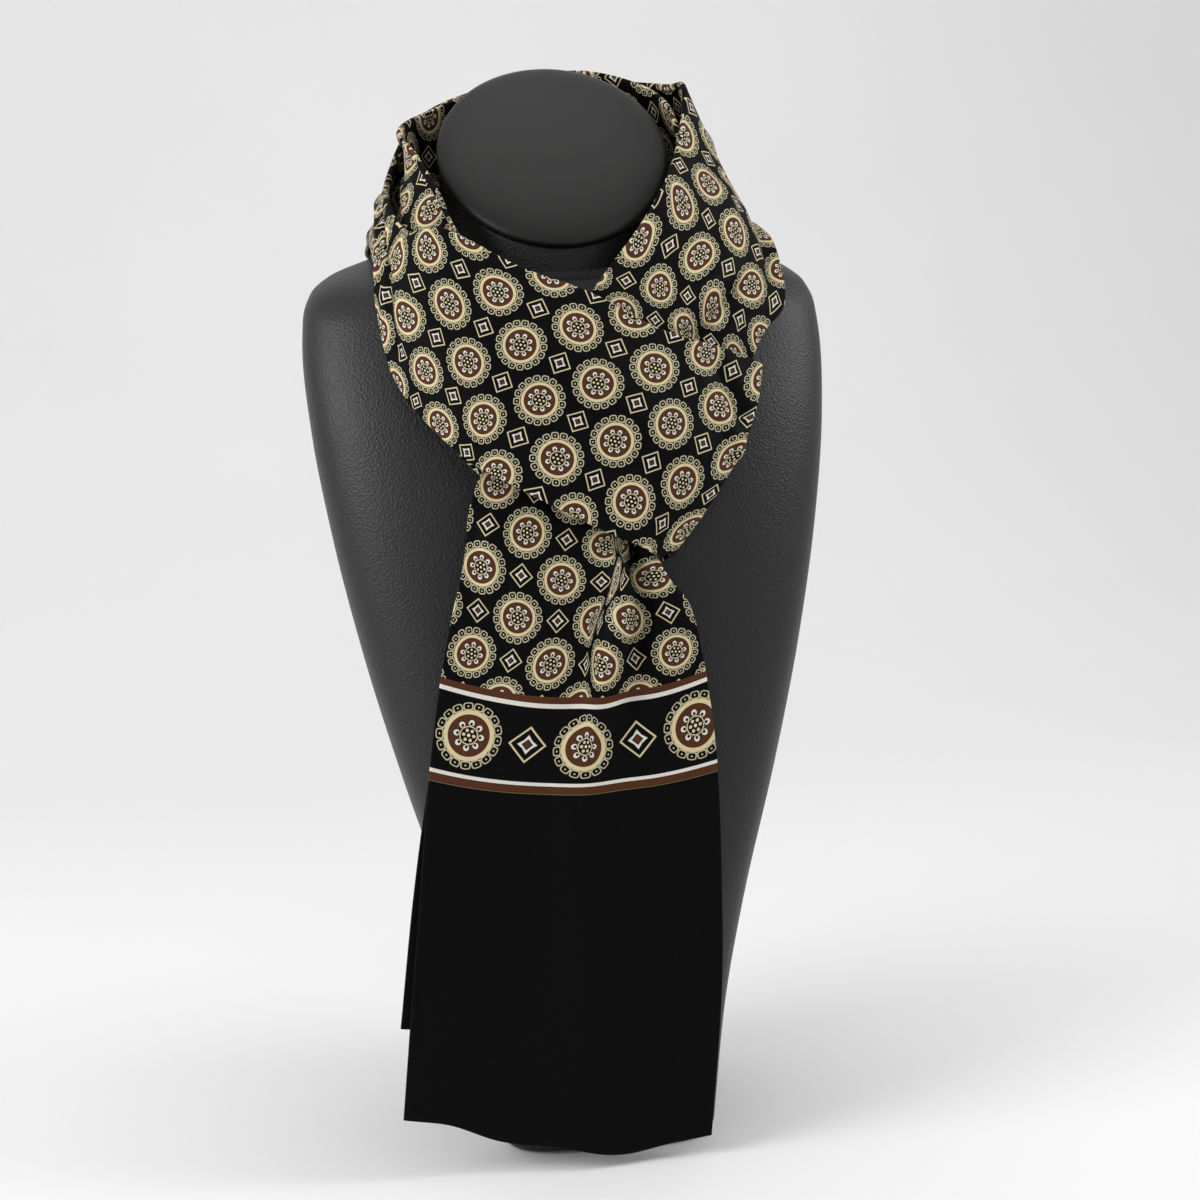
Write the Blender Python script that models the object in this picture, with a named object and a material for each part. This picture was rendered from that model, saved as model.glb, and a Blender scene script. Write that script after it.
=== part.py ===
# A long printed scarf looped round the neck of a limbless display form, as solids at real size.
# The scarf is one strip: it is folded in half, laid round the neck from behind, and both of its
# ends come through the loop of the fold and hang down the chest. Every section below is a row of
# one strip, from the hem of the front tail to the hem of the rear tail.
# Table values are millimetres. X runs to the viewer's right, -Y is the front and Z is up.

import bpy
import bmesh
import numpy as np

MM = 0.001

CLOTH_WALL = 1.5
SEAM_GAP = 0.4
ROLL_RADIUS = 1.6
ROLL_STEPS = 3
FULL_ROLL = 5.0
LEAST_TURN = 0.1
LEAST_RETURN = 0.4
NORMAL_STEP = 0.01
SECTION_PITCH = 30.0
STRIP_WIDTH = 150.0

FOOT_RADIUS = 5.0
FOOT_RINGS = (0.0, 1.5, 5.0)
CAP_GAP = 0.3
FORM_SIDES = 44
FORM_RINGS = 27


def table(columns, *rows):
    """Rows of numbers under named columns, as one array for each column."""
    return {name: np.array([row[i] for row in rows], float) for i, name in enumerate(columns.split())}


def joined(*tables):
    """Tables with the same columns, one after the other."""
    return {name: np.concatenate([t[name] for t in tables]) for name in tables[0]}


# The form, from its foot to the slanted top of its neck. Each ring is a superellipse of the given
# power that leans by slope millimetres for each millimetre towards the back.
FORM = table(
    "height half_width front back power slope",
    (0, 54.0, -55, 55, 5.0, 0.00),
    (60, 61.0, -58, 64, 5.0, 0.00),
    (120, 74.4, -58, 74, 4.5, 0.00),
    (180, 92.0, -54, 82, 4.2, 0.00),
    (240, 107.7, -47, 89, 4.0, 0.00),
    (300, 120.1, -37, 95, 3.8, 0.00),
    (350, 127.4, -24, 99, 3.6, 0.00),
    (385, 129.8, -11, 102, 3.4, 0.03),
    (405, 128.6, -4, 103, 3.2, 0.08),
    (416, 124.5, 0, 103, 2.9, 0.12),
    (423, 116.0, 3, 103, 2.7, 0.16),
    (428, 102.0, 5, 103, 2.5, 0.20),
    (432, 84.0, 6.5, 103, 2.3, 0.26),
    (437, 70.0, 8, 102.5, 2.1, 0.34),
    (444, 61.0, 9, 102, 2.0, 0.45),
    (455, 57.8, 9, 101.5, 2.0, 0.70),
    (470, 57.3, 9, 101, 2.0, 0.90),
    (479, 57.3, 9, 101, 2.0, 0.98),
)

# The domed cap on the neck: rings of the neck's own top, grown or shrunk, and raised along it.
CAP = table(
    "size raised",
    (0.955, 0.0),
    (0.990, 0.4),
    (1.012, 1.6),
    (1.018, 3.0),
    (1.006, 4.4),
    (0.965, 5.7),
    (0.860, 7.4),
    (0.660, 9.2),
    (0.400, 10.4),
    (0.150, 10.9),
)

SECTION = "top_x top_y top_z mid_x mid_y mid_z low_x low_y low_z roll"

# The front tail, hem first. Its left edge is the strip's top edge, its right edge the low one.
TAIL_FRONT = table(
    SECTION,
    (-101, -70, 31, -28, -72, 12, 46, -70, 9, 0),
    (-94, -68, 89, -21, -70, 82, 53, -68, 77, 0),
    (-88, -66, 136, -16, -68, 131, 55, -66, 130, 0),
    (-81, -64, 193, -12, -66, 188, 55, -63, 190, 0),
    (-74, -62, 235, -10, -65, 228, 51, -60, 236, 0),
    (-67, -60, 266, -10, -63, 258, 45, -58, 266, 0),
    (-60, -58, 292, -13, -62, 280, 35, -56, 280, 0),
    (-54, -51, 322, -13, -57, 302, 29, -52, 294, 0),
)

# The same strand going up under the loop and over the right shoulder.
COLLAR_RIGHT = table(
    SECTION,
    (-37, -38, 352, -5, -48, 326, 28, -50, 306, 0),
    (-11, -30, 386, 13, -42, 352, 44, -46, 320, 3),
    (9, -21, 412, 35, -34, 374, 59, -37, 338, 5),
    (23, -10, 428, 51, -23, 393, 75, -26, 360, 5),
    (37, 0, 444, 67, -10, 416, 91, -14, 389, 5),
    (51, 16, 463, 82, 10, 436, 105, -3, 405, 5),
    (64, 46, 485, 87, 42, 458, 106, 27, 434, 5),
)

COLLAR_BACK = table(
    SECTION,
    (72, 74, 514, 90, 70, 470, 104, 62, 437, 5),
    (66, 95, 517, 84, 101, 470, 98, 101, 431, 5),
    (42, 113, 521, 50, 122, 468, 58, 108, 408, 5),
    (3, 118, 525, 3, 127, 464, 3, 105, 394, 5),
    (-37, 113, 517, -45, 121, 464, -54, 108, 408, 5),
    (-67, 97, 502, -80, 101, 464, -92, 101, 431, 5),
)

# The loop's front strand: round the left side, across the chest and round the fold at lower right.
LOOP_FRONT = table(
    SECTION,
    (-82, 60, 481, -88, 61, 460, -94, 60, 439, 5),
    (-83, 27, 465, -88, 26, 449, -93, 18, 434, 5),
    (-76, 0, 446, -88, -2, 427, -92, -9, 405, 6),
    (-60, -16, 440, -78, -26, 410, -84, -27, 372, 6),
    (-26, -30, 422, -47, -45, 388, -58, -48, 341, 6),
    (6, -34, 410, -13, -52, 366, -32, -58, 325, 6),
    (36, -34, 395, 20, -54, 348, 4, -62, 305, 5),
    (61, -31, 386, 44, -52, 339, 21, -61, 297, 3),
    (77, -26, 381, 63, -45, 336, 29, -58, 292, 1),
    (89, -19, 375, 74, -37, 336, 38, -50, 290, 0),
)

# The same strand behind both tails, going back up to the left.
LOOP_REAR = table(
    SECTION,
    (75, -12, 378, 58, -30.5, 333, 22, -42.5, 286, 0),
    (33, -11.5, 392, 9, -26.5, 350, -13, -38, 309, 0),
    (-13, -10, 409, -35, -20, 369, -50, -32, 331, 0),
)

INNER_LEFT = table(
    SECTION,
    (-41, -9, 425, -62, -14, 394, -75, -19, 366, 0),
    (-54, 2, 444, -72, -4, 420, -83, -8, 398, 3),
    (-60, 14, 461, -74, 10, 444, -82, 12, 424, 5),
    (-68, 38, 480, -75, 34, 462, -82, 32, 442, 5),
    (-75, 62, 495, -74, 61, 470, -83, 60, 444, 5),
)

INNER_BACK = table(
    SECTION,
    (-59, 91, 506, -66, 93, 476, -74, 94, 447, 5),
    (-19, 107, 521, -21, 110, 478, -23, 109, 442, 5),
    (21, 108, 526, 23, 111, 482, 25, 109, 442, 5),
    (53, 95, 516, 59, 98, 482, 68, 97, 446, 5),
)

INNER_RIGHT = table(
    SECTION,
    (64, 72, 499, 71, 70, 472, 82, 65, 446, 5),
    (64, 47, 466, 73, 43, 453, 84, 36, 442, 3),
    (54, 20, 446, 69, 13, 429, 84, 4, 415, 1),
    (40, 4, 428, 60, -5, 406, 77, -14, 386, 0),
    (23, -8, 411, 41, -19, 382, 55, -30, 352, 0),
    (-5, -21, 385, 17, -33, 350, 38, -41.5, 316, 0),
)

# The rear tail ends a little above the front one's hem and shows at its left edge.
TAIL_REAR = table(
    SECTION,
    (-37, -33, 348, -5, -41, 326, 27, -45, 302, 0),
    (-55, -43, 300, -11, -49, 288, 27, -48, 284, 0),
    (-67, -51, 255, -11, -54, 245, 39, -52, 250, 0),
    (-81, -57, 190, -14, -59, 185, 49, -57, 186, 0),
    (-91, -60, 135, -19, -62, 128, 49, -60, 128, 0),
    (-100, -62, 73, -27, -64, 57, 45, -62, 52, 0),
)

STRETCHES = {
    "tail_front": TAIL_FRONT,
    "collar_right": COLLAR_RIGHT,
    "collar_back": COLLAR_BACK,
    "loop_front": LOOP_FRONT,
    "loop_rear": LOOP_REAR,
    "inner_left": INNER_LEFT,
    "inner_back": INNER_BACK,
    "inner_right": INNER_RIGHT,
    "tail_rear": TAIL_REAR,
}

# The largest folds: soft ridges (depth above 0) and troughs along a line on the strip. Stations
# count a stretch's rows from 0, and across runs from 0 at the top edge to 1 at the low edge.
FOLD = "from_station from_across to_station to_across width depth"

FOLDS = {
    "tail_front": table(
        FOLD,
        (7.6, 0.86, 6.4, 0.83, 6, -3),
        (6.0, 0.82, 4.4, 0.78, 8, -5),
        (4.0, 0.78, 2.6, 0.72, 14, -3),
        (7.0, 0.30, 4.5, 0.42, 16, 4),
        (6.4, 0.97, 4.8, 0.95, 8, 3),
        (7.2, 0.06, 5.6, 0.10, 8, 3),
        (0.0, 0.30, 2.2, 0.36, 18, -2),
        (0.0, 0.62, 1.8, 0.58, 16, 3),
        (0.0, 0.86, 1.6, 0.84, 12, -1),
    ),
    "collar_right": table(
        FOLD,
        (2.6, 0.60, 3.5, 0.46, 7, -3),
        (3.4, 0.76, 4.8, 0.80, 9, 2.5),
        (4.2, 0.52, 6.0, 0.48, 14, 2),
        (5.2, 0.84, 6.6, 0.80, 10, -2.5),
    ),
    "collar_back": table(
        FOLD,
        (0.6, 0.32, 2.6, 0.50, 14, 4),
        (1.4, 0.68, 3.8, 0.72, 14, -4),
        (2.8, 0.36, 5.2, 0.52, 14, 4),
        (3.4, 0.88, 5.4, 0.82, 12, 2),
    ),
    "loop_front": table(
        FOLD,
        (1.0, 0.22, 3.2, 0.36, 8, -3),
        (7.4, 0.10, 8.4, 0.32, 7, -3),
        (7.6, 0.30, 8.8, 0.50, 7, 2),
        (3.6, 0.62, 6.4, 0.88, 20, 2),
        (5.0, 0.30, 7.4, 0.52, 20, 2),
    ),
    "inner_left": table(
        FOLD,
        (2.0, 0.60, 4.0, 0.50, 10, -1.5),
    ),
}

# Rows and columns of faces for each stretch.
GRID = table(
    "along across",
    (22, 18),
    (18, 11),
    (14, 11),
    (28, 11),
    (7, 8),
    (11, 8),
    (9, 8),
    (13, 8),
    (13, 8),
)

# How the lower hems wave, and how many stations up the wave reaches.
HEM_REACH = 1.5
HEM_WAVE = table(
    "across raised",
    (0.00, 0.0),
    (0.15, 3.0),
    (0.30, -1.0),
    (0.50, 0.0),
    (0.72, -3.0),
    (0.88, 0.0),
    (1.00, 1.5),
)


def smooth(knots, values, at, steady=False):
    """Cubic Hermite curve through values at knots. A steady curve never swings past its values."""
    slopes = np.gradient(values, knots)
    if steady:
        rise = np.diff(values) / np.diff(knots)
        same_way = rise[1:] * rise[:-1] > 0
        total = np.where(same_way, rise[1:] + rise[:-1], 1.0)
        slopes[1:-1] = np.where(same_way, 2 * rise[1:] * rise[:-1] / total, 0.0)
    span = np.clip(np.searchsorted(knots, at, side="right") - 1, 0, len(knots) - 2)
    width = knots[span + 1] - knots[span]
    t = (at - knots[span]) / width
    low = values[span]
    high = values[span + 1]
    rise_low = slopes[span] * width
    rise_high = slopes[span + 1] * width
    return (
        low * (2 * t**3 - 3 * t**2 + 1)
        + rise_low * (t**3 - 2 * t**2 + t)
        + high * (3 * t**2 - 2 * t**3)
        + rise_high * (t**3 - t**2)
    )


def material(name, colour, roughness, sheen=0.0):
    """A Principled finish."""
    made = bpy.data.materials.new(name)
    made.use_nodes = True
    shader = made.node_tree.nodes["Principled BSDF"]
    shader.inputs["Base Color"].default_value = (*colour, 1.0)
    shader.inputs["Roughness"].default_value = roughness
    shader.inputs["Metallic"].default_value = 0.0
    shader.inputs["Sheen Weight"].default_value = sheen
    return made


def solid(name, points, faces, finish):
    """One closed body from points in millimetres, its faces pointing out."""
    mesh = bpy.data.meshes.new(name)
    mesh.from_pydata((points * MM).tolist(), [], faces)
    build = bmesh.new()
    build.from_mesh(mesh)
    bmesh.ops.recalc_face_normals(build, faces=build.faces)
    build.to_mesh(mesh)
    build.free()
    mesh.shade_smooth()
    mesh.materials.append(finish)
    made = bpy.data.objects.new(name, mesh)
    bpy.context.scene.collection.objects.link(made)
    return made


def form_ring(height):
    """The form's ring at one height, in millimetres: |x/a|^n + |y/b|^n = 1, leaned by its slope."""
    at = np.array([height])
    row = {name: smooth(FORM["height"], FORM[name], at, steady=True)[0] for name in FORM}
    angle = np.arange(FORM_SIDES) * 2 * np.pi / FORM_SIDES
    lift = max(FOOT_RADIUS - height, 0.0)
    inset = FOOT_RADIUS - np.sqrt(FOOT_RADIUS**2 - lift**2)
    depth = (row["back"] - row["front"]) / 2 - inset
    across = np.sign(np.cos(angle)) * np.abs(np.cos(angle)) ** (2 / row["power"])
    along = np.sign(np.sin(angle)) * np.abs(np.sin(angle)) ** (2 / row["power"])
    x = (row["half_width"] - inset) * across
    y = (row["front"] + row["back"]) / 2 + depth * along
    z = height + row["slope"] * depth * along
    return np.stack([x, y, z], 1)


def ring_faces(rings, sides):
    """Quads between neighbouring rings, with the first and the last ring filled."""
    faces = []
    for ring in range(rings - 1):
        for side in range(sides):
            following = (side + 1) % sides
            low = ring * sides
            high = low + sides
            faces.append((low + side, low + following, high + following, high + side))
    faces.append(tuple(range(sides)))
    faces.append(tuple(range((rings - 1) * sides, rings * sides)))
    return faces


def display_form(finish):
    """Torso and neck in one body, with more rings where the shoulders turn."""
    station = np.linspace(0, len(FORM["height"]) - 1, FORM_RINGS)[1:]
    heights = np.interp(station, np.arange(len(FORM["height"])), FORM["height"])
    rings = [form_ring(height) for height in (*FOOT_RINGS, *heights)]
    return solid("display_form", np.concatenate(rings), ring_faces(len(rings), FORM_SIDES), finish)


def form_cap(finish):
    """The domed cap, its rings square to the slanted top of the neck."""
    rim = form_ring(FORM["height"][-1])
    centre = rim.mean(0)
    slope = FORM["slope"][-1]
    out = np.array([0.0, -slope, 1.0]) / np.hypot(slope, 1.0)
    rings = [
        centre + (rim - centre) * size + out * (CAP_GAP + raised)
        for size, raised in zip(CAP["size"], CAP["raised"])
    ]
    return solid("form_cap", np.concatenate(rings), ring_faces(len(rings), FORM_SIDES), finish)


def strip_folds():
    """Every stretch's folds, with their stations counted along the whole strip."""
    first = 0
    rows = []
    for name, sections in STRETCHES.items():
        if name in FOLDS:
            moved = dict(FOLDS[name])
            moved["from_station"] = moved["from_station"] + first
            moved["to_station"] = moved["to_station"] + first
            rows.append(moved)
        first += len(sections["roll"])
    return joined(*rows)


def fold_depth(folds, station, across):
    """Soft ridges and troughs: depth times a bell curve of the distance to each fold's line."""
    depth = np.zeros(np.broadcast(station, across).shape)
    s = station * SECTION_PITCH + 0 * across
    t = across * STRIP_WIDTH + 0 * station
    for row in range(len(folds["depth"])):
        a = np.array([folds["from_station"][row] * SECTION_PITCH, folds["from_across"][row] * STRIP_WIDTH])
        b = np.array([folds["to_station"][row] * SECTION_PITCH, folds["to_across"][row] * STRIP_WIDTH])
        line = b - a
        along = np.clip(((s - a[0]) * line[0] + (t - a[1]) * line[1]) / (line @ line), 0, 1)
        away = np.hypot(s - a[0] - along * line[0], t - a[1] - along * line[1])
        depth += folds["depth"][row] * np.exp(-((away / folds["width"][row]) ** 2))
    return depth


def sections(strip, station, across):
    """Points of the strip: a parabola through the top, middle and low point of the section there."""
    knots = np.arange(len(strip["roll"]), dtype=float)
    at = {name: smooth(knots, strip[name], station)[:, None] for name in strip}
    axes = []
    for axis in "xyz":
        top = at["top_" + axis]
        low = at["low_" + axis]
        pull = 2 * at["mid_" + axis] - (top + low) / 2
        axes.append(top * (1 - across) ** 2 + 2 * pull * across * (1 - across) + low * across**2)
    return np.stack(axes, 2)


def facing(surface, station):
    """Unit normals of a surface at the stations, on the side that faces the viewer of the worn scarf."""
    along = surface(station + NORMAL_STEP) - surface(station - NORMAL_STEP)
    over = np.gradient(surface(station), axis=1)
    out = np.cross(over, along)
    return out / np.linalg.norm(out, axis=2, keepdims=True)


def folded(strip, folds, station, across):
    """The strip's sections with the folds raised or sunk along the sections' own normals."""

    def plain(at):
        return sections(strip, at, across)

    lift = fold_depth(folds, station[:, None], across)
    return plain(station) + facing(plain, station) * lift[:, :, None]


def hem_wave(points, station, across, hem):
    """The points with the hem's wave, which fades out going up from the hem."""
    near_hem = np.clip(1 - np.abs(station - hem) / HEM_REACH, 0, 1)
    raised = smooth(HEM_WAVE["across"], HEM_WAVE["raised"], across[0])
    points[:, :, 2] += near_hem[:, None] * raised
    return points


def rolled_edge(points, out, roll):
    """The top edge turned over inwards by an arc, then a flat return as long as the roll.

    A full roll turns half way round. A smaller one turns less, down to an almost straight edge.
    """
    edge = points[:, :1]
    away = edge - points[:, 1:2]
    away /= np.linalg.norm(away, axis=2, keepdims=True)
    side = out[:, :1]
    turn = np.pi * np.clip(roll / FULL_ROLL, LEAST_TURN, 1)[:, None, None]
    angle = turn * np.linspace(0, 1, ROLL_STEPS + 1)[1:][None, :, None]
    arc = edge + ROLL_RADIUS * ((np.cos(angle) - 1) * side + np.sin(angle) * away)
    heading = np.cos(turn) * away - np.sin(turn) * side
    back = arc[:, -1:] + heading * np.maximum(roll, LEAST_RETURN)[:, None, None]
    return np.concatenate([back, arc[:, ::-1], points], 1)


def wall(name, points, out, finish):
    """A closed wall of the cloth's thickness about a grid of points."""
    half = CLOTH_WALL / 2 * out
    rows, columns = points.shape[:2]
    both = np.concatenate([(points + half).reshape(-1, 3), (points - half).reshape(-1, 3)])
    index = np.arange(rows * columns).reshape(rows, columns)
    under = index + rows * columns
    faces = []
    for sheet in (index, under):
        corners = (sheet[:-1, :-1], sheet[1:, :-1], sheet[1:, 1:], sheet[:-1, 1:])
        faces += np.stack([corner.ravel() for corner in corners], 1).tolist()
    around = np.concatenate([index[0], index[1:, -1], index[-1, -2::-1], index[-2:0:-1, 0]])
    beneath = around + rows * columns
    rim = (around, np.roll(around, -1), np.roll(beneath, -1), beneath)
    faces += np.stack(rim, 1).tolist()
    return solid(name, both, faces, finish)


def stretch(name, first, last, along, across, finish):
    """One stretch of the strip, between two stations and half a seam gap inside each."""
    strip = joined(*STRETCHES.values())
    folds = strip_folds()
    end = len(strip["roll"]) - 1
    spread = np.linspace(0, 1, across + 1)[None, :]

    def surface(at):
        points = folded(strip, folds, at, spread)
        if name.startswith("tail"):
            return hem_wave(points, at, spread, 0 if name == "tail_front" else end)
        roll = smooth(np.arange(end + 1.0), strip["roll"], at, steady=True)
        out = facing(lambda near: folded(strip, folds, near, spread), at)
        return rolled_edge(points, out, roll)

    def seam(station):
        """Half a seam gap in stations, where the surface's stations are closest together."""
        at = np.array([station])
        apart = surface(at + NORMAL_STEP) - surface(at - NORMAL_STEP)
        return SEAM_GAP * NORMAL_STEP / np.linalg.norm(apart, axis=2).min()

    start = first + seam(first) if first > 0 else 0.0
    stop = last - seam(last) if last < end else end
    station = np.linspace(start, stop, along + 1)
    return wall(name, surface(station), facing(surface, station), finish)


def scarf(finish):
    """Every stretch of the strip, parted by a seam gap from the next."""
    first = 0
    end = sum(len(rows["roll"]) for rows in STRETCHES.values()) - 1
    for number, (name, rows) in enumerate(STRETCHES.items()):
        last = min(first + len(rows["roll"]), end)
        along = int(GRID["along"][number])
        across = int(GRID["across"][number])
        stretch(name, first, last, along, across, finish)
        first = last


def main():
    for old in list(bpy.data.objects):
        bpy.data.objects.remove(old)
    leather = material("black leatherette", (0.016, 0.016, 0.017), 0.5)
    cap_skin = material("smooth leatherette cap", (0.05, 0.05, 0.05), 0.42)
    cloth = material("printed twill", (0.012, 0.012, 0.014), 0.6, sheen=0.3)
    display_form(leather)
    form_cap(cap_skin)
    scarf(cloth)


main()
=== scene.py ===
# Looks of a printed scarf looped round a limbless black display form.
# The scarf is one double strip of printed twill. It is folded in half, laid round the neck from
# behind, and both ends come through the fold. Each stretch is a soft flat tube on its CAD solid.
# Tables are in millimetres. X runs to the viewer's right, -Y is the front and Z is up.

import bpy
import numpy as np
from mathutils import Matrix, Vector


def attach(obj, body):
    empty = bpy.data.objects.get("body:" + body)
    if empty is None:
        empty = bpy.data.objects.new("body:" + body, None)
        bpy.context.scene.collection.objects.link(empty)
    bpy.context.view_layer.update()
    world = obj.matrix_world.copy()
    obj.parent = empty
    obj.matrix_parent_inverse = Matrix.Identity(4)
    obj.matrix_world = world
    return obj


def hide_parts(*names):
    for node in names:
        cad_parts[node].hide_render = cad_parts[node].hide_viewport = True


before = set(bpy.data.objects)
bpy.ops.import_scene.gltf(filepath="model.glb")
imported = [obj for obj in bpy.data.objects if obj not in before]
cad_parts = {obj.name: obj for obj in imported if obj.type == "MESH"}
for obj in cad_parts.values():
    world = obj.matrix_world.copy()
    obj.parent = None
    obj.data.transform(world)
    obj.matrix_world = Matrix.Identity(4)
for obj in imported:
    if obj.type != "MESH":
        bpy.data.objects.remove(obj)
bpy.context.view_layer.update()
mm = 0.001
print("frame loaded")


def toLinear(hexColour):
    # sRGB hex to linear: a straight line below 0.04045, a power of 2.4 above it.
    channels = [int(hexColour[i:i + 2], 16) / 255 for i in (1, 3, 5)]
    linear = [c / 12.92 if c <= 0.04045 else ((c + 0.055) / 1.055) ** 2.4 for c in channels]
    return (*linear, 1.0)


def addNode(tree, kind, settings={}, links={}):
    # One node. Each link is a socket of another node, or the plain value of the input.
    node = tree.nodes.new(kind)
    for name, value in settings.items():
        setattr(node, name, value)
    for name, value in links.items():
        if isinstance(value, bpy.types.NodeSocket):
            tree.links.new(value, node.inputs[name])
        else:
            node.inputs[name].default_value = value
    return node


def newMaterial(name):
    # A material with only its output and a Principled shader.
    made = bpy.data.materials.new(name)
    made.use_nodes = True
    return made, made.node_tree, made.node_tree.nodes["Principled BSDF"]


def columns(names, rows):
    # Rows of numbers as one array for each named column.
    return {name: np.array([row[i] for row in rows], float) for i, name in enumerate(names.split())}


def smoothCurve(knots, values, at, steady=False):
    # Cubic Hermite curve through values at knots. A steady one never swings past its values.
    slopes = np.gradient(values, knots)
    if steady:
        rise = np.diff(values) / np.diff(knots)
        sameWay = rise[1:] * rise[:-1] > 0
        total = np.where(sameWay, rise[1:] + rise[:-1], 1.0)
        slopes[1:-1] = np.where(sameWay, 2 * rise[1:] * rise[:-1] / total, 0.0)
    span = np.clip(np.searchsorted(knots, at, side="right") - 1, 0, len(knots) - 2)
    width = knots[span + 1] - knots[span]
    t = (at - knots[span]) / width
    bend = slopes[span] * (t**3 - 2 * t**2 + t) + slopes[span + 1] * (t**3 - t**2)
    return values[span] + (values[span + 1] - values[span]) * (3 * t**2 - 2 * t**3) + bend * width


def faceMesh(name, points, faces, finish, uv=None):
    # Points in millimetres and their faces as a smooth mesh object at the origin.
    mesh = bpy.data.meshes.new(name)
    mesh.from_pydata((points * mm).tolist(), [], faces)
    mesh.shade_smooth()
    mesh.materials.append(finish)
    if uv is not None:
        corners = np.empty(len(mesh.loops), int)
        mesh.loops.foreach_get("vertex_index", corners)
        layer = mesh.uv_layers.new(name="clothMetres")
        layer.data.foreach_set("uv", (uv[corners] * mm).ravel())
    made = bpy.data.objects.new(name, mesh)
    bpy.context.scene.collection.objects.link(made)
    return made


# The camera stands where the photograph's did, and its frame is square.
camera = {
    "stand": (0.003, 0.02),  # what it circles round, x and y in metres
    "distance": 1.0,
    "height": 0.42,
    "yaw": 6.235,  # degrees to the left of straight in front
    "turn": 0.503,  # degrees it looks to the right of the stand
    "pitch": 9.123,  # degrees it looks down
    "roll": -2.078,
    "lens": 60.35,  # mm, for the sensor below
    "sensor": 36.0,
}


def makeCamera(c):
    # Forward from heading and pitch, right level with the ground, then both rolled about forward.
    yaw, heading = np.radians(c["yaw"]), np.radians(c["yaw"] + c["turn"])
    pitch, roll = np.radians(c["pitch"]), np.radians(c["roll"])
    forward = np.array([np.sin(heading) * np.cos(pitch), np.cos(heading) * np.cos(pitch), -np.sin(pitch)])
    level = np.array([np.cos(heading), -np.sin(heading), 0.0])
    upright = np.cross(level, forward)
    right = level * np.cos(roll) + upright * np.sin(roll)
    up = upright * np.cos(roll) - level * np.sin(roll)
    standX, standY = c["stand"]
    place = (standX - c["distance"] * np.sin(yaw), standY - c["distance"] * np.cos(yaw), c["height"])
    made = bpy.data.objects.new("camera", bpy.data.cameras.new("camera"))
    made.data.lens = c["lens"]
    made.data.sensor_width = c["sensor"]
    made.data.clip_start = 0.01
    turn = Matrix((right, up, -forward)).transposed().to_4x4()
    made.matrix_world = Matrix.Translation(Vector(place)) @ turn
    bpy.context.scene.collection.objects.link(made)
    bpy.context.scene.camera = made


makeCamera(camera)
print("camera placed")


# Foulard print on near-black silk-like twill: dark and matt, with a faint sheen on the folds. Sizes
# are millimetres of cloth.
foulard = {
    "ground": "#070709",
    "cream": "#d6c79c",
    "bead": "#c4bd9c",
    "brown": "#52301f",
    "white": "#dedad0",
    "olive": "#6f6440",
    "pitch": 28.0,  # medallion to medallion, on a square lattice turned 45 degrees
    "start": (12.0, 233.0),  # one medallion's place, across and along the cloth
    "borderPitch": 57.5,
    "borderStart": 79.4,
    "borderMiddle": 194.0,  # cloth from the hem to the middle of the border
    "borderHalf": 18.5,
    "borderGap": 2.6,  # plain cloth between the border and the field
    "borderSquare": 0.62,  # a field square's size against a border square's
    "edge": 0.16,  # how soft the ink's edges are
    "twill": 4.4,  # between ridges: far coarser than the real 0.5, which is too fine to show
    "twillAngle": 35.0,  # degrees
    "twillDepth": 0.12,
    "threadDrift": (0.82, 1.15),  # darkest and lightest that the ink drifts to
    "roughness": 0.6,
    "specular": 0.06,
    "sheen": 0.01,
    "sheenRoughness": 0.4,
}

# One motif, as a value in the field and one in the border, which are mixed by where the cloth is.
medallion = {
    "beadCircle": (10.5, 14.2),  # radius of the circle that the beads stand on
    "beadSize": (1.6, 1.85),  # half a bead's height
    "beadWide": (1.06, 1.32),  # a bead's width against its height
    "ringMid": (7.95, 11.2),
    "ringHalf": (0.68, 1.05),
    "disc": (7.05, 9.9),
    "petalCircle": (4.55, 6.1),
    "petalSize": (1.05, 1.45),
    "coreCircle": (4.2, 5.6),  # the petals are open a little inside their middles
    "heartSize": (3.5, 4.5),
    "heartHalf": (0.17, 0.24),
    "dotCircle": (1.95, 2.55),
    "dotSize": (0.52, 0.8),
}

# What is the same in the field and in the border.
motif = {
    "beads": 17,
    "petals": 8,
    "dots": 6,
    "beadLine": 0.22,  # half the width of a bead's outline
    "beadSpot": 0.34,
    "petalRim": 0.35,  # dark edge round a petal
    "petalCore": 0.5,  # share of a petal that its dark core takes
    "heartLine": 0.25,  # the heart's outline lies this far inside its edge
    "squareLine": (3.8, 0.26),  # half side and half line width
    "lobeCut": 0.16,  # how much the white bulges towards its corners
    "lobes": 1.8,
    "thread": 1.25,
    "heart": 0.95,
}

# The border's lines: name, side (1 is away from the hem), how far past the border's edge, half the
# width, and colour.
borderLines = [
    ("upperBrown", 1, 4.0, 1.5, "brown"),
    ("upperWhite", 1, 1.1, 1.1, "white"),
    ("lowerWhite", -1, 0.9, 0.85, "white"),
    ("lowerBrown", -1, 3.6, 1.55, "brown"),
    ("lowerThread", -1, 5.6, 0.2, "olive"),
]


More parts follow.
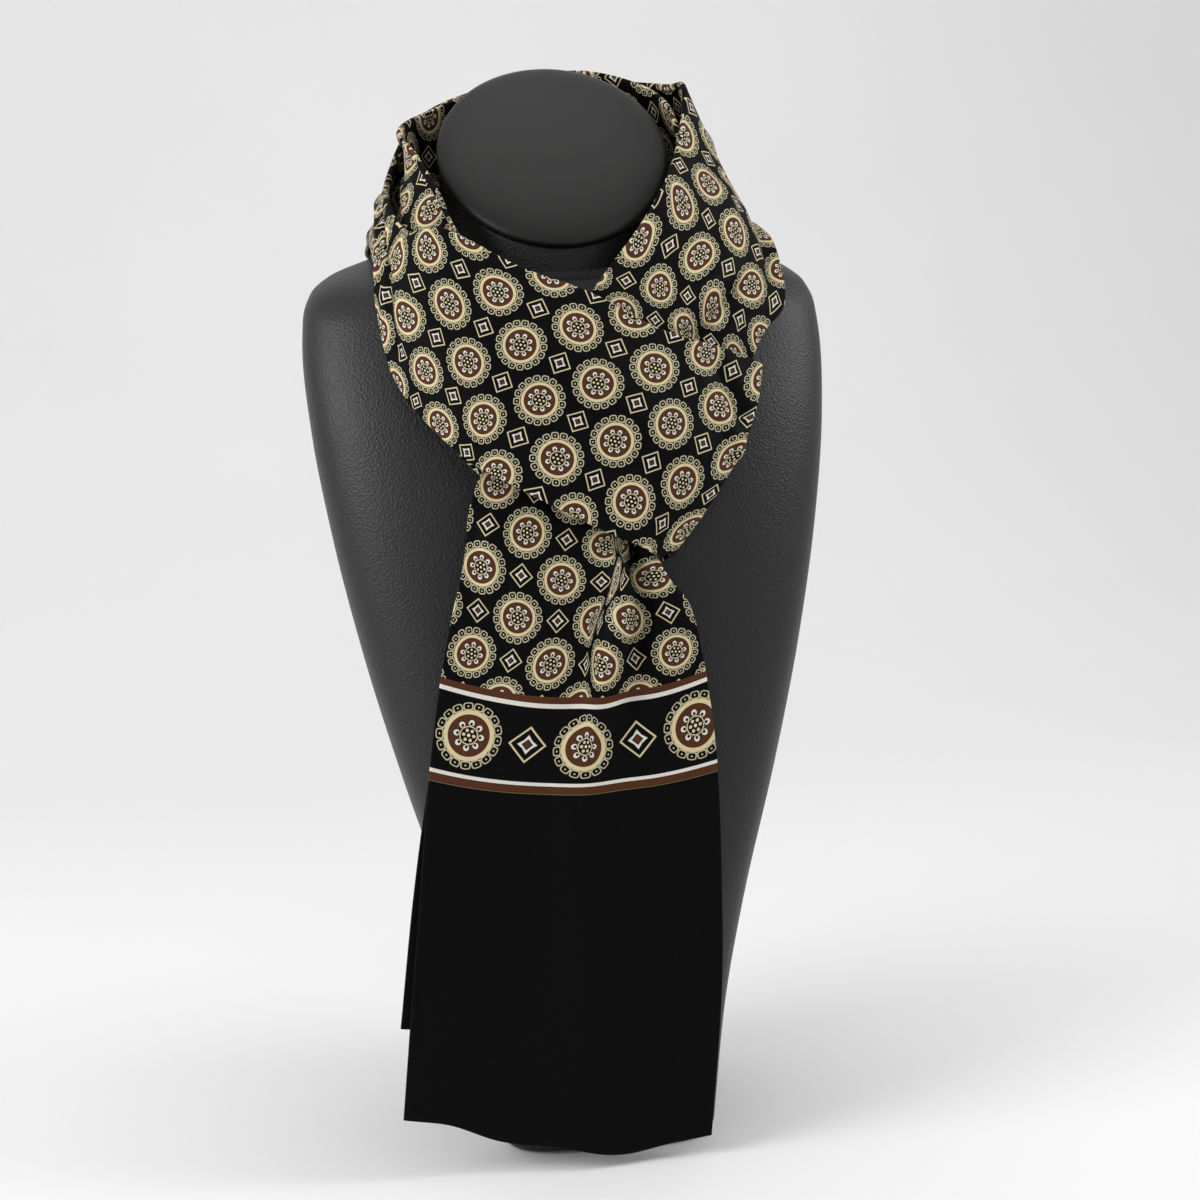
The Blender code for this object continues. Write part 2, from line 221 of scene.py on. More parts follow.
def makeTwill(p, clothLength):
    made, tree, shader = newMaterial("foulard printed twill")
    uv = addNode(tree, "ShaderNodeUVMap", {"uv_map": "clothMetres"})
    parts = addNode(tree, "ShaderNodeSeparateXYZ", {}, {0: uv.outputs[0]})
    sockets = {"uMetres": parts.outputs[0], "vMetres": parts.outputs[1]}
    pitch = p["pitch"]
    diagonal = pitch * 2**0.5
    across, along = p["start"]
    squareScale = 0.5**0.5 * p["borderSquare"]
    # Each row is a Math node: its name, its operation and its terms, which are names or numbers.
    rows = [
        ("u", "MULTIPLY", "uMetres", 1000.0),
        ("v", "MULTIPLY", "vMetres", 1000.0),
        # the nearer hem counts, so both ends carry the border
        ("fromFarHem", "SUBTRACT", clothLength, "v"),
        ("fromHem", "MINIMUM", "v", "fromFarHem"),
        ("h", "SUBTRACT", "fromHem", p["borderMiddle"]),
        ("hAway", "ABSOLUTE", "h"),
        ("inBorder", "LESS_THAN", "hAway", p["borderHalf"]),
        # the field lattice, counted along its two axes
        ("sum", "ADD", "u", "v"),
        ("difference", "SUBTRACT", "u", "v"),
        ("a", "MULTIPLY_ADD", "sum", 1 / diagonal, -(across + along) / diagonal),
        ("b", "MULTIPLY_ADD", "difference", 1 / diagonal, -(across - along) / diagonal),
        ("aNear", "ROUND", "a"),
        ("bNear", "ROUND", "b"),
        ("aOff", "SUBTRACT", "a", "aNear"),
        ("bOff", "SUBTRACT", "b", "bNear"),
        ("aFloor", "FRACT", "a"),
        ("bFloor", "FRACT", "b"),
        # the border row, counted across the cloth
        ("c", "MULTIPLY_ADD", "u", 1 / p["borderPitch"], -p["borderStart"] / p["borderPitch"]),
        ("cNear", "ROUND", "c"),
        ("cOff", "SUBTRACT", "c", "cNear"),
        ("cFloor", "FRACT", "c"),
        # place in the nearest medallion, in mm: field, or border where that is
        ("xField", "MULTIPLY", "aOff", pitch),
        ("yField", "MULTIPLY", "bOff", pitch),
        ("xBorder", "MULTIPLY", "cOff", p["borderPitch"]),
        ("xStep", "SUBTRACT", "xBorder", "xField"),
        ("yStep", "SUBTRACT", "h", "yField"),
        ("x", "MULTIPLY_ADD", "xStep", "inBorder", "xField"),
        ("y", "MULTIPLY_ADD", "yStep", "inBorder", "yField"),
        ("xx", "MULTIPLY", "x", "x"),
        ("yy", "MULTIPLY", "y", "y"),
        ("rr", "ADD", "xx", "yy"),
        ("r", "SQRT", "rr"),
        ("angle", "ARCTAN2", "y", "x"),
        # place in the nearest square: its sides lie along the lattice, and at 45 degrees in the border
        ("dField", "MULTIPLY_ADD", "aFloor", pitch, -pitch / 2),
        ("eField", "MULTIPLY_ADD", "bFloor", pitch, -pitch / 2),
        ("gBorder", "MULTIPLY_ADD", "cFloor", p["borderPitch"], -p["borderPitch"] / 2),
        ("dSum", "ADD", "gBorder", "h"),
        ("eSum", "SUBTRACT", "gBorder", "h"),
        ("dBorder", "MULTIPLY", "dSum", squareScale),
        ("eBorder", "MULTIPLY", "eSum", squareScale),
        ("dStep", "SUBTRACT", "dBorder", "dField"),
        ("eStep", "SUBTRACT", "eBorder", "eField"),
        ("d", "MULTIPLY_ADD", "dStep", "inBorder", "dField"),
        ("e", "MULTIPLY_ADD", "eStep", "inBorder", "eField"),
        ("dAway", "ABSOLUTE", "d"),
        ("eAway", "ABSOLUTE", "e"),
        ("side", "MAXIMUM", "dAway", "eAway"),
        ("narrow", "MINIMUM", "dAway", "eAway"),
    ]
    for name, (field, border) in medallion.items():
        rows.append((name, "MULTIPLY_ADD", "inBorder", border - field, field))

    def repeated(name, count, circle, wide=1.0):
        # Place by the nearest of count spots on a circle: turn the angle into one share of it.
        return [
            (name + "Count", "MULTIPLY", "angle", count / (2 * np.pi)),
            (name + "Near", "ROUND", name + "Count"),
            (name + "Share", "SUBTRACT", name + "Count", name + "Near"),
            (name + "Bend", "MULTIPLY", name + "Share", 2 * np.pi / count),
            (name + "Arc", "MULTIPLY", name + "Bend", "r"),
            (name + "Across", "DIVIDE", name + "Arc", wide),
            (name + "Out", "SUBTRACT", "r", circle),
            (name + "AcrossSquare", "MULTIPLY", name + "Across", name + "Across"),
            (name + "OutSquare", "MULTIPLY", name + "Out", name + "Out"),
        ]

    def spots(name, *terms):
        # Distance from the middle of the nearest spot.
        square = (name + "Square", "ADD", name + "AcrossSquare", name + "OutSquare")
        return repeated(name, *terms) + [square, (name, "SQRT", name + "Square")]

    # beads are squares with round corners: the fourth root of the summed fourth powers
    rows += repeated("bead", motif["beads"], "beadCircle", "beadWide")
    rows += [
        ("beadAcrossFourth", "MULTIPLY", "beadAcrossSquare", "beadAcrossSquare"),
        ("beadOutFourth", "MULTIPLY", "beadOutSquare", "beadOutSquare"),
        ("beadFourth", "ADD", "beadAcrossFourth", "beadOutFourth"),
        ("bead", "POWER", "beadFourth", 0.25),
    ]
    rows += spots("petal", motif["petals"], "petalCircle")
    rows += spots("core", motif["petals"], "coreCircle")
    rows += spots("dot", motif["dots"], "dotCircle")

    def inside(name, distance, limit):
        # 1 where distance is under limit, with a soft edge.
        return [
            (name + "Left", "SUBTRACT", limit, distance),
            (name, "MULTIPLY_ADD", name + "Left", 1 / p["edge"], 0.5, "clamp"),
        ]

    def between(name, distance, middle, half):
        # 1 where distance is within half of middle, with soft edges.
        return [
            (name + "From", "SUBTRACT", distance, middle),
            (name + "Away", "ABSOLUTE", name + "From"),
        ] + inside(name, name + "Away", half)

    rows += [("beadLine", "SUBTRACT", "beadSize", motif["beadLine"])]
    rows += between("beadRing", "bead", "beadLine", motif["beadLine"])
    rows += inside("beadSpot", "bead", motif["beadSpot"])
    rows += between("ring", "r", "ringMid", "ringHalf")
    rows += inside("discMask", "r", "disc")
    rows += [("petalDark", "ADD", "petalSize", motif["petalRim"])]
    rows += inside("petalEdge", "petal", "petalDark")
    rows += inside("petalMask", "petal", "petalSize")
    rows += [("petalHole", "MULTIPLY", "petalSize", motif["petalCore"])]
    rows += inside("petalCore", "core", "petalHole")
    rows += [("heartLine", "SUBTRACT", "heartSize", motif["heartLine"])]
    rows += inside("heart", "r", "heartSize")
    rows += between("heartRing", "r", "heartLine", "heartHalf")
    rows += inside("dots", "dot", "dotSize")
    rows += inside("middleDot", "r", "dotSize")
    rows += between("squareLine", "side", *motif["squareLine"])
    # the white inside a square has round lobes at its corners and a brown heart with a dark edge
    rows += [("lobe", "MULTIPLY", "narrow", motif["lobeCut"]), ("cut", "SUBTRACT", "side", "lobe")]
    rows += inside("squareLobes", "cut", motif["lobes"])
    rows += inside("squareThread", "side", motif["thread"])
    rows += inside("squareHeart", "side", motif["heart"])
    # the motifs show in the field and in the border, and the cloth is plain towards the hem
    rows += [
        ("isField", "GREATER_THAN", "h", p["borderHalf"] + p["borderGap"]),
        ("printed", "ADD", "isField", "inBorder"),
    ]
    for name, way, past, half, _ in borderLines:
        rows += between(name, "h", way * (p["borderHalf"] + past), half)
    for name, operation, *terms in rows:
        clamp = terms[-1] == "clamp"
        terms = [term for term in terms if term != "clamp"]
        links = {i: sockets.get(term, term) for i, term in enumerate(terms)}
        node = addNode(tree, "ShaderNodeMath", {"operation": operation, "use_clamp": clamp}, links)
        sockets[name] = node.outputs[0]

    def painted(under, mask, over):
        # The colour over another where the mask is 1.
        links = {0: sockets[mask], 6: under, 7: over}
        return addNode(tree, "ShaderNodeMix", {"data_type": "RGBA"}, links).outputs[2]

    ground = toLinear(p["ground"])
    colour = ground
    layers = [
        ("beadRing", "bead"), ("beadSpot", "bead"), ("discMask", "brown"), ("ring", "cream"),
        ("petalEdge", "ground"), ("petalMask", "white"), ("petalCore", "ground"), ("heart", "ground"),
        ("heartRing", "cream"), ("dots", "cream"), ("middleDot", "white"), ("squareLine", "cream"),
        ("squareLobes", "white"), ("squareThread", "ground"), ("squareHeart", "brown"),
    ]
    for mask, tint in layers:
        colour = painted(colour, mask, toLinear(p[tint]))
    colour = painted(ground, "printed", colour)
    for mask, *_, tint in borderLines:
        colour = painted(colour, mask, toLinear(p[tint]))

    # Ink soaks in unevenly, so the tints drift a little over a few threads.
    place = uv.outputs[0]
    drift = addNode(tree, "ShaderNodeTexNoise", {}, {"Vector": place, "Scale": 900.0, "Detail": 3.0})
    darkest, lightest = p["threadDrift"]
    shade = addNode(tree, "ShaderNodeMapRange", {}, {0: drift.outputs[0], 3: darkest, 4: lightest})
    scaled = {0: colour, "Scale": shade.outputs[0]}
    tinted = addNode(tree, "ShaderNodeVectorMath", {"operation": "SCALE"}, scaled)
    # Twill: soft ridges along one diagonal of the cloth. At scale 1 the wave texture's bands lie
    # 2 pi / 20 apart.
    angles = (0.0, 0.0, np.radians(p["twillAngle"]))
    turned = addNode(tree, "ShaderNodeMapping", {}, {"Vector": place, "Rotation": angles})
    lines = addNode(tree, "ShaderNodeTexWave", {"bands_direction": "X"}, {
        "Vector": turned.outputs[0],
        "Scale": 2 * np.pi / 20 / (p["twill"] * mm),
        "Distortion": 0.8,
        "Detail": 2.0,
    })
    ridges = {"Height": lines.outputs[1], "Strength": 0.25, "Distance": p["twillDepth"] * mm}
    bump = addNode(tree, "ShaderNodeBump", {}, ridges)
    tree.links.new(tinted.outputs[0], shader.inputs["Base Color"])
    tree.links.new(bump.outputs[0], shader.inputs["Normal"])
    shader.inputs["Roughness"].default_value = p["roughness"]
    shader.inputs["Specular IOR Level"].default_value = p["specular"]
    shader.inputs["Sheen Weight"].default_value = p["sheen"]
    shader.inputs["Sheen Roughness"].default_value = p["sheenRoughness"]
    return made


# The strip's sections, in the order of the strip: a top edge, a middle and a low edge, and how far
# the top edge is rolled in. Creases are soft ridges or troughs along a line on the strip. Stations
# count a stretch's rows from 0, and across runs from 0 at the top edge to 1 at the low edge.
sectionColumns = "topX topY topZ midX midY midZ lowX lowY lowZ roll"
creaseColumns = "fromStation fromAcross toStation toAcross width depth"

tailFront = {  # the front tail, hem first
    "node": "tail_front",
    "sections": [
        (-101, -70, 31, -28, -72, 12, 46, -70, 9, 0),
        (-94, -68, 89, -21, -70, 82, 53, -68, 77, 0),
        (-88, -66, 136, -16, -68, 131, 55, -66, 130, 0),
        (-81, -64, 193, -12, -66, 188, 55, -63, 190, 0),
        (-74, -62, 235, -10, -65, 228, 51, -60, 236, 0),
        (-67, -60, 266, -10, -63, 258, 45, -58, 266, 0),
        (-60, -58, 292, -13, -62, 280, 35, -56, 280, 0),
        (-54, -51, 322, -13, -57, 302, 29, -52, 294, 0),
    ],
    "creases": [
        (6.5, 0.79, 5.2, 0.70, 7, 5.0),
        (5.2, 0.70, 4.2, 0.60, 7, 5.5),
        (4.2, 0.60, 3.6, 0.56, 9, 4.0),
        (3.6, 0.56, 2.8, 0.52, 14, 2.5),
        (7.2, 0.91, 5.6, 0.85, 7, -8.0),
        (5.6, 0.85, 4.5, 0.74, 8, -8.0),
        (4.5, 0.74, 3.9, 0.70, 10, -5.0),
        (3.9, 0.70, 3.2, 0.66, 12, -2.5),
        (6.4, 0.99, 4.8, 0.95, 6, 2.0),
        (6.6, 0.12, 5.8, 0.16, 9, 2.5),
        (5.8, 0.30, 4.2, 0.36, 18, 2.0),
        (0.0, 0.30, 2.2, 0.36, 18, -2),
        (0.0, 0.62, 1.8, 0.58, 16, 3),
        (0.0, 0.86, 1.6, 0.84, 12, -1),
    ],
}

collarRight = {  # under the band, then up over the right shoulder
    "node": "collar_right",
    "sections": [
        (-37, -38, 352, -5, -48, 326, 28, -50, 306, 0),
        (-11, -30, 386, 13, -42, 352, 44, -46, 320, 3),
        (9, -21, 412, 35, -34, 374, 59, -37, 338, 5),
        (23, -10, 428, 51, -23, 393, 75, -26, 360, 5),
        (37, 0, 444, 67, -10, 416, 91, -14, 389, 5),
        (51, 16, 463, 82, 10, 436, 105, -3, 405, 5),
        (64, 46, 485, 87, 42, 458, 106, 27, 434, 5),
    ],
    "creases": [
        (3.0, 0.56, 4.3, 0.66, 6, -3.5),
        (2.9, 0.44, 4.0, 0.52, 7, 2.5),
        (3.1, 0.72, 4.4, 0.80, 8, 2),
        (4.2, 0.52, 6.0, 0.48, 14, 2),
        (5.2, 0.84, 6.6, 0.80, 10, -2.5),
    ],
}

collarBack = {  # the outer strand behind the neck
    "node": "collar_back",
    "sections": [
        (72, 74, 514, 90, 70, 470, 104, 62, 437, 5),
        (66, 95, 517, 84, 101, 470, 98, 101, 431, 5),
        (42, 113, 521, 50, 122, 468, 58, 108, 408, 5),
        (3, 118, 525, 3, 127, 464, 3, 105, 394, 5),
        (-37, 113, 517, -45, 121, 464, -54, 108, 408, 5),
        (-67, 97, 502, -80, 101, 464, -92, 101, 431, 5),
    ],
    "creases": [
        (0.6, 0.32, 2.6, 0.50, 14, 4),
        (1.4, 0.68, 3.8, 0.72, 14, -4),
        (2.8, 0.36, 5.2, 0.52, 14, 4),
        (3.4, 0.88, 5.4, 0.82, 12, 2),
    ],
}

loopFront = {  # the left side, the front band and the fold at lower right
    "node": "loop_front",
    "sections": [
        (-83, 60, 473, -88.5, 61, 456, -94, 60, 439, 4),
        (-85, 27, 458, -89, 26, 446, -93, 18, 434, 3),
        (-77, 0, 444, -88, -2, 427, -92, -9, 405, 3),
        (-60, -16, 444, -78, -26, 411, -84, -27, 372, 3),
        (-26, -30, 425, -47, -45, 389, -58, -48, 341, 3),
        (6, -34, 412, -13, -52, 367, -32, -58, 325, 4),
        (36, -34, 395, 20, -54, 348, 4, -62, 305, 5),
        (61, -31, 386, 44, -52, 339, 21, -61, 297, 3),
        (77, -26, 381, 63, -45, 336, 29, -58, 292, 1),
        (89, -19, 375, 74, -37, 336, 38, -50, 290, 0),
    ],
    "creases": [
        (0.3, 0.10, 1.0, 0.22, 6, -2.0),
        (1.0, 0.22, 2.2, 0.46, 6, -3.0),
        (2.2, 0.46, 2.9, 0.80, 6, -2.5),
        (0.6, 0.40, 2.0, 0.72, 9, 2),
        (7.4, 0.10, 8.4, 0.32, 7, -3),
        (7.6, 0.30, 8.8, 0.50, 7, 2),
        (3.6, 0.62, 6.4, 0.88, 20, 2),
        (5.0, 0.30, 7.4, 0.52, 20, 2),
    ],
}

loopRear = {  # behind the tails, back up to the left
    "node": "loop_rear",
    "sections": [
        (75, -12, 378, 58, -30.5, 333, 22, -42.5, 286, 0),
        (33, -11.5, 392, 9, -26.5, 350, -13, -38, 309, 0),
        (-13, -10, 409, -35, -20, 369, -50, -32, 331, 0),
    ],
    "creases": [],
}

innerLeft = {  # the inner strand on the left
    "node": "inner_left",
    "sections": [
        (-41, -9, 425, -62, -14, 394, -75, -19, 366, 0),
        (-54, 2, 444, -72, -4, 420, -83, -8, 398, 3),
        (-60, 14, 461, -74, 10, 444, -82, 12, 424, 5),
        (-68, 38, 480, -75, 34, 462, -82, 32, 442, 5),
        (-75, 62, 495, -74, 61, 470, -83, 60, 444, 5),
    ],
    "creases": [
        (2.0, 0.60, 4.0, 0.50, 10, -1.5),
    ],
}

innerBack = {  # the inner strand behind the neck
    "node": "inner_back",
    "sections": [
        (-59, 91, 506, -66, 93, 476, -74, 94, 447, 5),
        (-19, 107, 521, -21, 110, 478, -23, 109, 442, 5),
        (21, 108, 526, 23, 111, 482, 25, 109, 442, 5),
        (53, 95, 516, 59, 98, 482, 68, 97, 446, 5),
    ],
    "creases": [],
}

innerRight = {  # the inner strand going down on the right
    "node": "inner_right",
    "sections": [
        (64, 72, 499, 71, 70, 472, 82, 65, 446, 5),
        (64, 47, 466, 73, 43, 453, 84, 36, 442, 3),
        (54, 20, 446, 69, 13, 429, 84, 4, 415, 1),
        (40, 4, 428, 60, -5, 406, 77, -14, 386, 0),
        (23, -8, 411, 41, -19, 382, 55, -30, 352, 0),
        (-5, -21, 385, 17, -33, 350, 38, -41.5, 316, 0),
    ],
    "creases": [],
}

tailRear = {  # the rear tail, hem last
    "node": "tail_rear",
    "sections": [
        (-37, -33, 348, -5, -41, 326, 27, -45, 302, 0),
        (-55, -43, 300, -11, -49, 288, 27, -48, 284, 0),
        (-67, -51, 255, -11, -54, 245, 39, -52, 250, 0),
        (-81, -57, 190, -14, -59, 185, 49, -57, 186, 0),
        (-91, -60, 135, -19, -62, 128, 49, -60, 128, 0),
        (-100, -62, 73, -27, -64, 57, 45, -62, 52, 0),
    ],
    "creases": [],
}

stretches = [
    tailFront, collarRight, collarBack, loopFront, loopRear, innerLeft, innerBack, innerRight, tailRear,
]

cloth = {
    "width": 150.0,
    "half": 0.6,  # half the thickness of the double cloth
    "edge": 0.35,  # how much thicker it is at its folded edges, as a share
    "edgeReach": 3.0,
    "edgeSteps": (0.0, 0.13, 0.5),  # points that round the edge, in half thicknesses from it
    "pace": 30.0,  # millimetres of cloth to a station, for the creases
    "rollRadius": 0.8,
    "rollReach": 0.4,  # share of the roll's length that lies turned in
    "rollSteps": 8,
    "rollEnd": (1.0, 0.25, 4),  # points past the arc: farthest and nearest share of the reach, and count
    "fullRoll": 5.0,  # a roll this long turns in by half a circle
    "leastTurn": 0.1,  # share of half a circle where there is no roll
    "leastReturn": 0.4,
    "near": 0.01,  # step in stations for slopes
    "hemReach": 1.5,  # stations over which the hem's wave fades
    "pleatReach": 0.06,  # share of the width over which a pleat swallows its cloth
    "skewFrom": 91.2,  # where across the cloth a skew turns the print
    "face": 1.5,  # size of a mesh face
}

hemWave = columns("across raised", [
    (0.00, 0.0), (0.15, 3.0), (0.30, -1.0), (0.50, 0.0), (0.72, -3.0), (0.88, 0.0), (1.00, 1.5),
])

strip = columns(sectionColumns, [row for piece in stretches for row in piece["sections"]])
knots = np.arange(len(strip["roll"]), dtype=float)
lastStation = knots[-1]


def gatherCreases():
    # All creases, with their stations counted along the whole strip.
    first = 0
    rows = []
    for piece in stretches:
        rows += [(a + first, b, c + first, d, width, depth) for a, b, c, d, width, depth in piece["creases"]]
        first += len(piece["sections"])
    return columns(creaseColumns, rows)


creases = gatherCreases()


def creaseDepth(station, across):
    # Depth times a bell curve of the distance to the crease's line. Where creases meet, the highest
    # ridge and the deepest trough are added.
    s = station * cloth["pace"] + 0 * across
    t = across * cloth["width"] + 0 * station
    size = np.array([cloth["pace"], cloth["width"]])
    starts = np.stack([creases["fromStation"], creases["fromAcross"]], 1) * size
    ends = np.stack([creases["toStation"], creases["toAcross"]], 1) * size
    ridge = np.zeros(s.shape)
    trough = np.zeros(s.shape)
    for start, end, width, deepest in zip(starts, ends, creases["width"], creases["depth"]):
        line = end - start
        along = np.clip(((s - start[0]) * line[0] + (t - start[1]) * line[1]) / (line @ line), 0, 1)
        away = np.hypot(s - start[0] - along * line[0], t - start[1] - along * line[1])
        depth = deepest * np.exp(-((away / width) ** 2))
        ridge = np.maximum(ridge, depth)
        trough = np.minimum(trough, depth)
    return ridge + trough


def sectionPoints(station, across):
    # A parabola through the section's top, middle and low point.
    at = {name: smoothCurve(knots, strip[name], station)[:, None] for name in strip}
    axes = []
    for axis in "XYZ":
        top, low = at["top" + axis], at["low" + axis]
        pull = 2 * at["mid" + axis] - (top + low) / 2
        axes.append(top * (1 - across) ** 2 + 2 * pull * across * (1 - across) + low * across**2)
    return np.stack(axes, 2)


def facing(surface, station):
    # Unit normals from the slope along, by a small step of station, and the slope across the grid.
    along = surface(station + cloth["near"]) - surface(station - cloth["near"])
    out = np.cross(np.gradient(surface(station), axis=1), along)
    return out / np.linalg.norm(out, axis=2, keepdims=True)


def creased(station, across):
    # The sections moved out along their normals by the creases.
    lift = creaseDepth(station[:, None], across)
    out = facing(lambda s: sectionPoints(s, across), station)
    return sectionPoints(station, across) + out * lift[:, :, None]


def waveHem(points, station, across, hem):
    # The hem waves up and down, and the wave fades out going up the tail.
    nearHem = np.clip(1 - np.abs(station - hem) / cloth["hemReach"], 0, 1)
    points[:, :, 2] += nearHem[:, None] * smoothCurve(hemWave["across"], hemWave["raised"], across[0])
    return points


def rollEdge(points, out, roll):
    # The top edge turns in by an arc of fixed radius, then runs on straight for the roll's length.
    edge = points[:, :1]
    away = edge - points[:, 1:2]
    away /= np.linalg.norm(away, axis=2, keepdims=True)
    side = out[:, :1]
    turn = np.pi * np.clip(roll / cloth["fullRoll"], cloth["leastTurn"], 1)[:, None, None]
    angle = turn * np.linspace(0, 1, cloth["rollSteps"] + 1)[1:][None, :, None]
    arc = edge + cloth["rollRadius"] * ((np.cos(angle) - 1) * side + np.sin(angle) * away)
    heading = np.cos(turn) * away - np.sin(turn) * side
    reach = np.maximum(roll * cloth["rollReach"], cloth["leastReturn"])[:, None, None]
    back = arc[:, -1:] + heading * reach * np.linspace(*cloth["rollEnd"])[None, :, None]
    return np.concatenate([back, arc[:, ::-1], points], 1)


def clothSurface(piece, station, across, base=creased):
    # The middle surface of a stretch at the stations, with its hem or its rolled edge.
    points = base(station, across)
    if piece["node"].startswith("tail"):
        return waveHem(points, station, across, 0 if piece is tailFront else lastStation)
    roll = smoothCurve(knots, strip["roll"], station, steady=True)
    return rollEdge(points, facing(lambda s: base(s, across), station), roll)


# How the print lies on the strip, by station, fitted to where its medallions and squares lie in the
# photograph. The low edge is at 150 mm plus edge, and from there the cloth's width runs up by pace
# for each millimetre shown. A pleat hides some of it at a share of the width. Along the strip, slack
# is cloth gathered before a station, skew turns the print by u, and dip sags it in the middle.
printFit = columns("station edge pace hides pleat slack skew dip", [
    (0.0, -8.0, 0.99, -6.0, 0.60, 0.0, -0.03, -2.0),
    (2.0, -10.7, 0.992, -10.5, 0.60, -7.7, -0.024, 4.2),
    (3.4, -3.9, 1.033, 3.5, 0.55, -4.9, 0.029, 5.4),
    (4.8, -6.8, 1.08, 18.3, 0.57, 2.7, 0.054, -0.7),
    (6.1, -13.2, 1.056, 32.1, 0.74, 1.4, -0.02, -1.0),
    (6.9, -18.7, 1.06, 34.5, 0.80, 2.8, -0.094, -5.1),
    (7.35, -23.5, 1.051, 34.1, 0.80, 0.9, -0.169, -6.1),
    (8.3, -33.5, 0.947, 24.8, 0.80, -4.3, -0.43, -7.3),
    (9.5, -44.5, 0.822, 0.0, 0.80, -0.8, -0.82, -5.3),
    (10.5, -32.1, 0.858, 0.0, 0.80, 10.6, -0.878, -1.4),
    (11.6, -4.2, 1.199, 0.0, 0.80, 27.4, -0.363, -1.5),
    (12.3, 3.6, 1.30, 0.0, 0.80, 24.2, -0.211, -3.0),
    (13.0, 9.3, 1.203, 0.0, 0.80, 13.0, -0.192, 5.6),
    (14.0, -10.0, 0.98, 0.0, 0.80, 9.5, -0.25, -4.0),
    (15.0, -6.0, 0.95, 0.0, 0.80, 12.0, -0.10, 0.0),
    (17.0, 0.0, 1.00, 0.0, 0.80, 20.0, 0.00, 0.0),
    (20.0, 0.0, 1.00, 0.0, 0.80, 27.0, 0.00, 0.0),
    (22.3, -22.0, 0.80, 0.0, 0.80, 30.5, 0.26, -3.0),
    (23.15, -19.3, 1.09, 0.0, 0.80, 34.0, 0.014, -3.3),
    (23.6, -6.0, 1.182, 0.0, 0.80, 32.7, -0.063, -2.8),
    (24.0, 0.9, 1.192, 0.0, 0.80, 33.3, -0.033, -5.5),
    (24.5, 7.6, 1.166, 0.0, 0.80, 38.1, 0.053, -11.4),
    (25.4, 2.5, 1.011, 0.0, 0.80, 34.2, 0.14, -6.2),
    (26.3, 0.7, 0.99, 0.0, 0.80, 26.5, 0.164, 1.5),
    (27.0, -1.7, 0.942, 0.0, 0.80, 26.1, 0.253, 0.9),
    (28.4, -6.1, 0.934, 0.0, 0.80, 24.1, 0.118, 7.2),
    (32.0, 0.0, 1.00, 0.0, 0.80, 27.4, 0.00, 0.0),
    (36.0, -10.0, 0.80, 0.0, 0.80, 42.0, -0.60, 0.0),
    (37.5, -1.8, 0.949, 0.0, 0.80, 34.7, -0.357, 2.1),
    (60.0, 0.0, 1.00, 0.0, 0.80, 30.0, 0.00, 0.0),
])


def clothCoordinates(points, station):
    # Cloth millimetres, read without the creases: across by the width shown, along by the middle's length.
    at = printFit["station"]
    fit = {name: smoothCurve(at, printFit[name], station, steady=True)[:, None] for name in printFit}
    steps = np.linalg.norm(np.diff(points, axis=1), axis=2)
    fromTop = np.concatenate([np.zeros((len(steps), 1)), np.cumsum(steps, 1)], 1)
    shown = fromTop[:, -1:]
    share = fromTop / shown
    past = np.clip((share - fit["pleat"]) / cloth["pleatReach"] + 0.5, 0, 1)
    hidden = fit["hides"] * (1 - past**2 * (3 - 2 * past))
    across = cloth["width"] + fit["edge"] - fit["pace"] * (shown - fromTop) - hidden
    along = np.interp(station, lengthStations, lengths)[:, None] + fit["slack"]
    along = along + fit["skew"] * (across - cloth["skewFrom"]) + fit["dip"] * 4 * share * (1 - share)
    return across, along


def middleLengths(at):
    # Cloth length at each station: the summed steps of the sections' middle points.
    middle = sectionPoints(at, np.array([[0.5]]))[:, 0]
    return np.concatenate([[0], np.cumsum(np.linalg.norm(np.diff(middle, axis=0), axis=1))])


lengthStations = np.linspace(0, lastStation, 2000)
lengths = middleLengths(lengthStations)
stripLength = float(lengths[-1] + printFit["slack"][-1])
print("strip length", round(stripLength), "mm")
twill = makeTwill(foulard, stripLength)
print("twill mixed")


